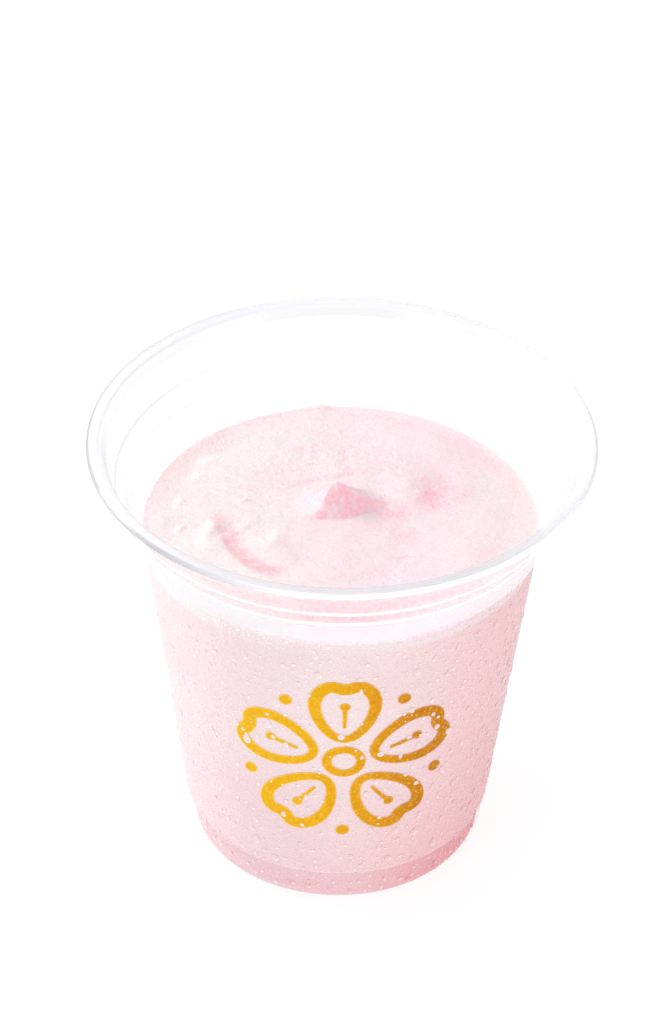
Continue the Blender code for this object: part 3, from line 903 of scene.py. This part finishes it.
def ribbon(points, faces, slots, line, half, closed=True):
    """A flat stroke of varying width along a line of (u, v), with a thin closed section and thinner ink at its edges."""
    line = np.asarray(line, float)
    half = np.asarray(half, float)
    if closed:
        ahead, behind = np.roll(line, -1, 0), np.roll(line, 1, 0)
    else:
        ahead = np.vstack([line[1:], line[-1:]])
        behind = np.vstack([line[:1], line[:-1]])
    along = ahead - behind
    along /= np.linalg.norm(along, axis=1)[:, None]
    across = np.stack([-along[:, 1], along[:, 0]], 1)
    inner = np.maximum(half - INK_EDGE, 0.3 * half)
    start = len(points)
    n = len(line)
    lanes = ((half, INK_LOW, 1), (half, INK_HIGH, 1), (inner, INK_HIGH, 0), (-inner, INK_HIGH, 1), (-half, INK_HIGH, 1), (-half, INK_LOW, 0))
    for reach, lift, _ in lanes:
        side = line + across * reach[:, None]
        points.extend(print_point(side[:, 0], side[:, 1], lift))
    for i in range(n if closed else n - 1):
        j = (i + 1) % n
        for k in range(6):
            m = (k + 1) % 6
            faces.append((start + m * n + i, start + m * n + j, start + k * n + j, start + k * n + i))
            slots.append(lanes[k][2])
    if not closed:
        faces.append(tuple(start + k * n for k in (5, 4, 3, 2, 1, 0)))
        faces.append(tuple(start + k * n + n - 1 for k in range(6)))
        slots += [1, 1]


def dot(points, faces, slots, u, v, radius, count=20):
    start = len(points)
    a = np.arange(count) * 2 * pi / count
    for lift, reach in ((INK_LOW, radius), (INK_HIGH, radius), (INK_HIGH, radius - INK_EDGE)):
        points.extend(print_point(u + reach * np.cos(a), v + reach * np.sin(a), lift))
    faces.append(tuple(start + i for i in range(count))[::-1])
    faces.append(tuple(start + 2 * count + i for i in range(count)))
    slots += [1, 0]
    for k in (0, 1):
        for i in range(count):
            j = (i + 1) % count
            faces.append((start + k * count + i, start + k * count + j, start + (k + 1) * count + j, start + (k + 1) * count + i))
            slots.append(1)


def print_strokes():
    """The lines (u, v), half widths and whether each is closed, and the dots (u, v, radius), of a plain five-petalled blossom in outline."""
    lines, dots = [], []
    t = np.arange(96) * 2 * pi / 96
    out = (1 - np.cos(t)) / 2
    reach = 6.3 + 15.2 * out - 1.5 * np.exp(-(((t - pi) / 0.30) ** 2))
    width = 6.55 * np.sin(t) * (0.66 + 0.42 * out)
    half = 0.95 + 0.50 * out
    for k in range(5):
        a = radians(90 + 72 * k)
        u = reach * cos(a) - width * sin(a)
        v = reach * sin(a) + width * cos(a)
        lines.append((np.stack([u, v], 1), half, True))
        s = np.linspace(9.4, 14.6, 8)
        lines.append((np.stack([s * cos(a), s * sin(a)], 1), np.linspace(0.34, 0.52, 8), False))
        dots.append((15.2 * cos(a), 15.2 * sin(a), 1.05))
        b = radians(90 + 72 * k + 36)
        dots.append((19.6 * cos(b), 19.6 * sin(b), 1.35))
    lines.append((np.stack([3.3 * np.cos(t), 3.3 * np.sin(t)], 1), np.full(96, 0.95), True))
    return lines, dots


def build_print(materials):
    points, faces, slots = [], [], []
    lines, dots = print_strokes()
    for line, half, closed in lines:
        ribbon(points, faces, slots, line, half, closed)
    for u, v, radius in dots:
        dot(points, faces, slots, u, v, radius)
    obj = mesh_object("front_print", np.array(points), faces, materials, slots)
    obj.data.set_sharp_from_angle(angle=radians(35))
    return obj


def over_print(spots):
    """True for the places (angle, z) on the wall that lie over the print."""
    lines, dots = print_strokes()
    centres = np.vstack([line for line, _, _ in lines] + [[dot[:2] for dot in dots]])
    reach = np.concatenate([half for _, half, _ in lines] + [[dot[2] for dot in dots]])
    angle = (spots[:, 0] - PRINT_ANGLE + pi) % (2 * pi) - pi
    u, v = angle * outer_r(spots[:, 1]), (spots[:, 1] - PRINT_Z) / 0.991
    apart = np.hypot(u[:, None] - centres[:, 0], v[:, None] - centres[:, 1])
    return (apart < reach + 0.1).any(1)


def dome_grid(segments, rows):
    """Rows of a dome from its middle out, as shares of its radius, and its faces."""
    shares = [sin(pi / 2 * (i + 1) / rows) for i in range(rows)]
    faces = []
    for i in range(segments):
        faces.append((0, 1 + i, 1 + (i + 1) % segments))
    for k in range(rows - 1):
        a, b = 1 + k * segments, 1 + (k + 1) * segments
        for i in range(segments):
            j = (i + 1) % segments
            faces.append((a + i, b + i, b + j, a + j))
    return shares, faces


def build_drops(name, materials, places, segments, rows, seed):
    """Joined drops on the wall. places: (angle, z, radius, flatness, stretch) for each."""
    shares, dome = dome_grid(segments, rows)
    count = len(places)
    rng = np.random.default_rng(seed)
    angle, z, radius, flat, stretch = [np.asarray(p) for p in np.array(places).T]
    turn = rng.uniform(0, 2 * pi, count)
    per = 1 + rows * segments
    pts = np.zeros((count, per, 3))
    theta = np.arange(segments) * 2 * pi / segments
    bump_a = rng.uniform(-0.10, 0.10, (count, 1))
    bump_b = rng.uniform(-0.08, 0.08, (count, 1))
    slot = 0
    rows_list = [0.0] + shares
    for k, share in enumerate(rows_list):
        th = np.zeros(1) if k == 0 else theta
        th = th[None, :] + turn[:, None] * (0 if k == 0 else 1)
        outline = 1 + bump_a * np.cos(2 * th + turn[:, None]) + bump_b * np.cos(3 * th)
        du = radius[:, None] * share * outline * np.cos(th)
        dv = radius[:, None] * share * outline * np.sin(th)
        # a drop hangs: narrower above, fuller below, its foot stretched downwards
        hang = (stretch - 1)[:, None]
        up = np.clip(np.sin(th), 0, 1) * share
        du = du * (1 - 0.45 * np.clip(hang, 0, 1.2) * up)
        dv = dv * np.where(np.sin(th) > 0, 1 + hang, 1 + 0.15 * hang)
        lift = radius[:, None] * flat[:, None] * np.sqrt(np.clip(1 - share**2, 0, 1))
        lift = lift * (1 - 0.35 * np.clip(hang, 0, 1) * up)
        lift = lift - (0.03 if share > 0.999 else 0.0)
        z_here = z[:, None] + dv
        r = outer_r(z_here)
        a_here = angle[:, None] + du / r
        r = r + lift
        width = th.shape[1]
        pts[:, slot : slot + width, 0] = r * np.cos(a_here)
        pts[:, slot : slot + width, 1] = r * np.sin(a_here)
        pts[:, slot : slot + width, 2] = z_here
        slot += width
    faces = []
    for c in range(count):
        off = c * per
        faces.extend([tuple(off + i for i in face) for face in dome])
    slots = None
    if len(materials) > 1:
        # painted highlight in a crescent inside each drop's lower right edge, where light would gather, and painted
        # shadow on the edge itself
        slots = np.zeros((count, len(dome)), np.int32)
        spans = {rows - 6: 18, rows - 5: 46, rows - 4: 66, rows - 3: 80}
        for k in range(rows - 1):
            bright, dark = spans.get(k, 0), 62 if k == rows - 2 else 0
            for i in range(segments):
                at = theta[i] + pi / segments + turn
                away = np.abs((at + radians(60) + pi) % (2 * pi) - pi)
                column = slots[:, segments + k * segments + i]
                column[away < radians(bright)] = 1
                column[away < radians(dark)] = 2
        slots = slots.ravel()
    obj = mesh_object(name, pts.reshape(-1, 3), faces, materials, slots)
    obj.visible_shadow = False  # clear water hardly shades what is behind it
    return obj


def scatter(count, low, high, seed, spacing):
    """Places on the body's wall at least spacing mm apart, even in area: (angle, z)."""
    rng = np.random.default_rng(seed)
    cell = spacing
    kept, table = [], {}
    tries = 0
    while len(kept) < count and tries < count * 12:
        tries += 1
        z = low + (high - low) * rng.random()
        r = float(np.interp(z, WALL_Z, WALL_R))
        if rng.random() > r / 40:
            continue
        a = rng.random() * 2 * pi - pi
        u = a * r
        key = (int(u // cell), int(z // cell))
        clash = False
        for i in (-1, 0, 1):
            for j in (-1, 0, 1):
                for pu, pz in table.get((key[0] + i, key[1] + j), ()):
                    if (pu - u) ** 2 + (pz - z) ** 2 < spacing**2:
                        clash = True
        if clash:
            continue
        table.setdefault(key, []).append((u, z))
        kept.append((a, z))
    return np.array(kept)


def wetness(angle, z):
    """How thick the condensation lies: more on the right of the front and low down, less on the left."""
    side = 0.5 + 0.5 * np.cos(angle - radians(-12))
    return np.clip(0.35 + 0.75 * side + 0.25 * noise(angle * 2.2, z / 14, 0, 71), 0.1, 1.2)


def below_surface(spots, radius):
    """False for drops that would show above the drink's level beyond it."""
    return (spots[:, 1] + 1.6 * radius < FILL_Z) | (np.sin(spots[:, 0]) < -0.35)


def build_condensation():
    made = []
    # the large drops carry a painted highlight crescent and a painted shadow edge; the small drops and dew are lighter
    # than the drink behind, partly as a painted highlight
    drop = fine_dew("drop", 0.03, 0.12)
    glint = fine_dew("drop_glint", 0.75, 0.20)
    shade = fine_dew("drop_shade", 0.22, 0.30, (0.62, 0.30, 0.33))
    small = fine_dew("drop_small", 0.32)
    dew = fine_dew("dew", 0.36)
    rng = np.random.default_rng(5)
    low, high = 3.2, LEDGE[1] - 2.3

    spots = scatter(520, low, high - 1.5, 7, 2.9)
    keep = rng.random(len(spots)) < wetness(spots[:, 0], spots[:, 1])
    spots = spots[keep & below_surface(spots, 0.8)]
    size = 0.40 + 0.42 * rng.random(len(spots)) ** 2.0
    stretch = np.where(rng.random(len(spots)) < 0.35, 1.3 + 1.3 * rng.random(len(spots)), 1.08)
    flat = 0.14 + 0.05 * rng.random(len(spots))
    made.append(build_drops("drops_large", [drop, glint, shade], np.column_stack([spots, size, flat, stretch]), 24, 8, 8))
    taken = {}
    for (a, z), s, st in zip(spots, size, stretch):
        taken.setdefault((int(a * 35 // 4), int(z // 4)), []).append((a, z, s, st))

    def clear_of(points, radius):
        ok = np.ones(len(points), bool)
        for n, (a, z) in enumerate(points):
            ka, kz = int(a * 35 // 4), int(z // 4)
            for i in (-1, 0, 1):
                for j in (-1, 0, 1):
                    for ta, tz, ts, tst in taken.get((ka + i, kz + j), ()):
                        du = (a - ta) * 34
                        dv = z - tz
                        reach = ts * (tst if dv > 0 else 1.15)
                        if (du / (ts + radius[n])) ** 2 + (dv / (reach + radius[n])) ** 2 < 1:
                            ok[n] = False
        return ok

    spots = scatter(2300, low, high, 9, 1.5)
    keep = rng.random(len(spots)) < 0.25 + 0.7 * wetness(spots[:, 0], spots[:, 1])
    spots = spots[keep & below_surface(spots, 0.4)]
    size = 0.24 + 0.18 * rng.random(len(spots)) ** 1.5
    ok = clear_of(spots, size) & ~(over_print(spots) & (rng.random(len(spots)) < 0.85))
    spots, size = spots[ok], size[ok]
    flat = 0.14 + 0.05 * rng.random(len(spots))
    made.append(build_drops("drops_small", [small], np.column_stack([spots, size, flat, np.full(len(spots), 1.05)]), 10, 4, 10))
    for (a, z), s in zip(spots, size):
        taken.setdefault((int(a * 35 // 4), int(z // 4)), []).append((a, z, s, 1.0))

    spots = scatter(13500, low - 0.6, high + 0.3, 11, 0.52)
    spots = spots[below_surface(spots, 0.2)]
    size = 0.10 + 0.09 * rng.random(len(spots)) ** 1.3
    ok = clear_of(spots, size) & ~(over_print(spots) & (rng.random(len(spots)) < 0.80))
    spots, size = spots[ok], size[ok]
    flat = 0.16 + 0.06 * rng.random(len(spots))
    made.append(build_drops("dew", [dew], np.column_stack([spots, size, flat, np.full(len(spots), 1.0)]), 5, 2, 12))
    return made


# ---------------------------------------------------------------- stage, light and camera
def build_stage():
    material, tree, shader = new_material("pale_floor")
    shader.inputs["Base Color"].default_value = (0.2, 0.2, 0.2, 1)
    shader.inputs["Roughness"].default_value = 0.9
    shader.inputs["Specular IOR Level"].default_value = 0.0
    shader.inputs["Emission Color"].default_value = (1, 1, 1, 1)
    shader.inputs["Emission Strength"].default_value = 0.84
    size = 1400.0
    floor = mesh_object(
        "floor",
        np.array([(-size, -size, -0.05), (size, -size, -0.05), (size, size, -0.05), (-size, size, -0.05)]),
        [(0, 1, 2, 3)],
        [material],
        smooth_faces=False,
    )

    world = bpy.data.worlds.new("studio")
    bpy.context.scene.world = world
    world.use_nodes = True
    tree = world.node_tree
    background = tree.nodes["Background"]
    coordinates = tree.nodes.new("ShaderNodeTexCoord")
    split = tree.nodes.new("ShaderNodeSeparateXYZ")
    tree.links.new(coordinates.outputs["Generated"], split.inputs["Vector"])
    height = node(tree, "ShaderNodeMapRange", {"From Min": -1.0, "From Max": 1.0})
    tree.links.new(split.outputs["Z"], height.inputs["Value"])
    tone = ramp(
        tree,
        height.outputs["Result"],
        (
            (0.0, (1.0, 1.0, 1.0)),
            (0.46, (1.0, 1.0, 1.0)),
            (0.50, (0.62, 0.63, 0.65)),
            (0.56, (0.66, 0.67, 0.69)),
            (0.66, (1.0, 1.0, 1.0)),
            (1.0, (1.0, 1.0, 1.0)),
        ),
    )
    tree.links.new(tone.outputs["Color"], background.inputs["Color"])
    background.inputs["Strength"].default_value = 0.68


def area_light(name, place, target, size, power, colour=(1, 1, 1)):
    light = bpy.data.lights.new(name, "AREA")
    light.shape = "DISK"
    light.size = size
    light.energy = power
    light.color = colour
    obj = bpy.data.objects.new(name, light)
    bpy.context.scene.collection.objects.link(obj)
    obj.location = place
    direction = Vector(target) - Vector(place)
    obj.rotation_euler = direction.to_track_quat("-Z", "Y").to_euler()
    return obj


def build_lights():
    area_light("overhead", (0.0, 0.0, 1.15), (0, 0, 0.07), 1.2, 2.8)
    area_light("key", (-0.80, 0.34, 0.56), (0, 0, 0.07), 0.42, 6.0, (1.0, 0.995, 0.99))
    area_light("front", (-0.70, -0.85, 0.22), (0, 0, 0.04), 0.6, 2.2)
    area_light("right", (0.85, -0.65, 0.16), (0, 0, 0.04), 0.6, 2.8)


# The photograph's view: 36.9 degrees down, from 18 rim radii away, leaning 0.8 degrees
VIEW_DOWN, VIEW_ROLL, VIEW_FAR, VIEW_FOCAL = 0.644072, 0.0139218, 18 * RIM_R, 4562.75
VIEW_TARGET = (-0.037276 * RIM_R, 0.0, RIM_Z - 0.343019 * RIM_R)


def build_camera():
    target = Vector(VIEW_TARGET) * MM
    place = target + Vector((0, -cos(VIEW_DOWN), sin(VIEW_DOWN))) * VIEW_FAR * MM
    ahead = (target - place).normalized()
    right = Vector((1, 0, 0))
    up = right.cross(ahead)
    side = right * cos(VIEW_ROLL) + up * sin(VIEW_ROLL)
    top = -right * sin(VIEW_ROLL) + up * cos(VIEW_ROLL)
    data = bpy.data.cameras.new("camera")
    data.sensor_fit = "VERTICAL"
    data.sensor_height = 24.0
    data.lens = VIEW_FOCAL * 24.0 / PHOTO_H
    data.clip_start, data.clip_end = 0.01, 20.0
    camera = bpy.data.objects.new("camera", data)
    bpy.context.scene.collection.objects.link(camera)
    camera.matrix_world = Matrix(
        (
            (side.x, top.x, -ahead.x, place.x),
            (side.y, top.y, -ahead.y, place.y),
            (side.z, top.z, -ahead.z, place.z),
            (0, 0, 0, 1),
        )
    )
    bpy.context.scene.camera = camera


def main():
    scene = bpy.context.scene
    scene.view_settings.view_transform = "Standard"
    scene.view_settings.look = "None"
    scene.cycles.max_bounces = 24
    scene.cycles.transmission_bounces = 24
    scene.cycles.transparent_max_bounces = 24

    build_camera()
    cup = build_cup()
    cup.visible_shadow = False  # a clear sheet hardly shades the drink
    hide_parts("cup")
    shake = build_shake([shake_material("pink_shake", 0.50), shake_material("pink_shake_wall", 0.0)])
    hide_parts("milkshake")
    pieces = [cup, shake]
    art = build_print([ink("gold_print", 1.0), ink("gold_print_edge", 1.30)])
    art.visible_shadow = False
    pieces.append(art)
    for drops in build_condensation():
        pieces.append(drops)
    for piece in pieces:
        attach(piece, "root")
    build_stage()
    build_lights()


main()
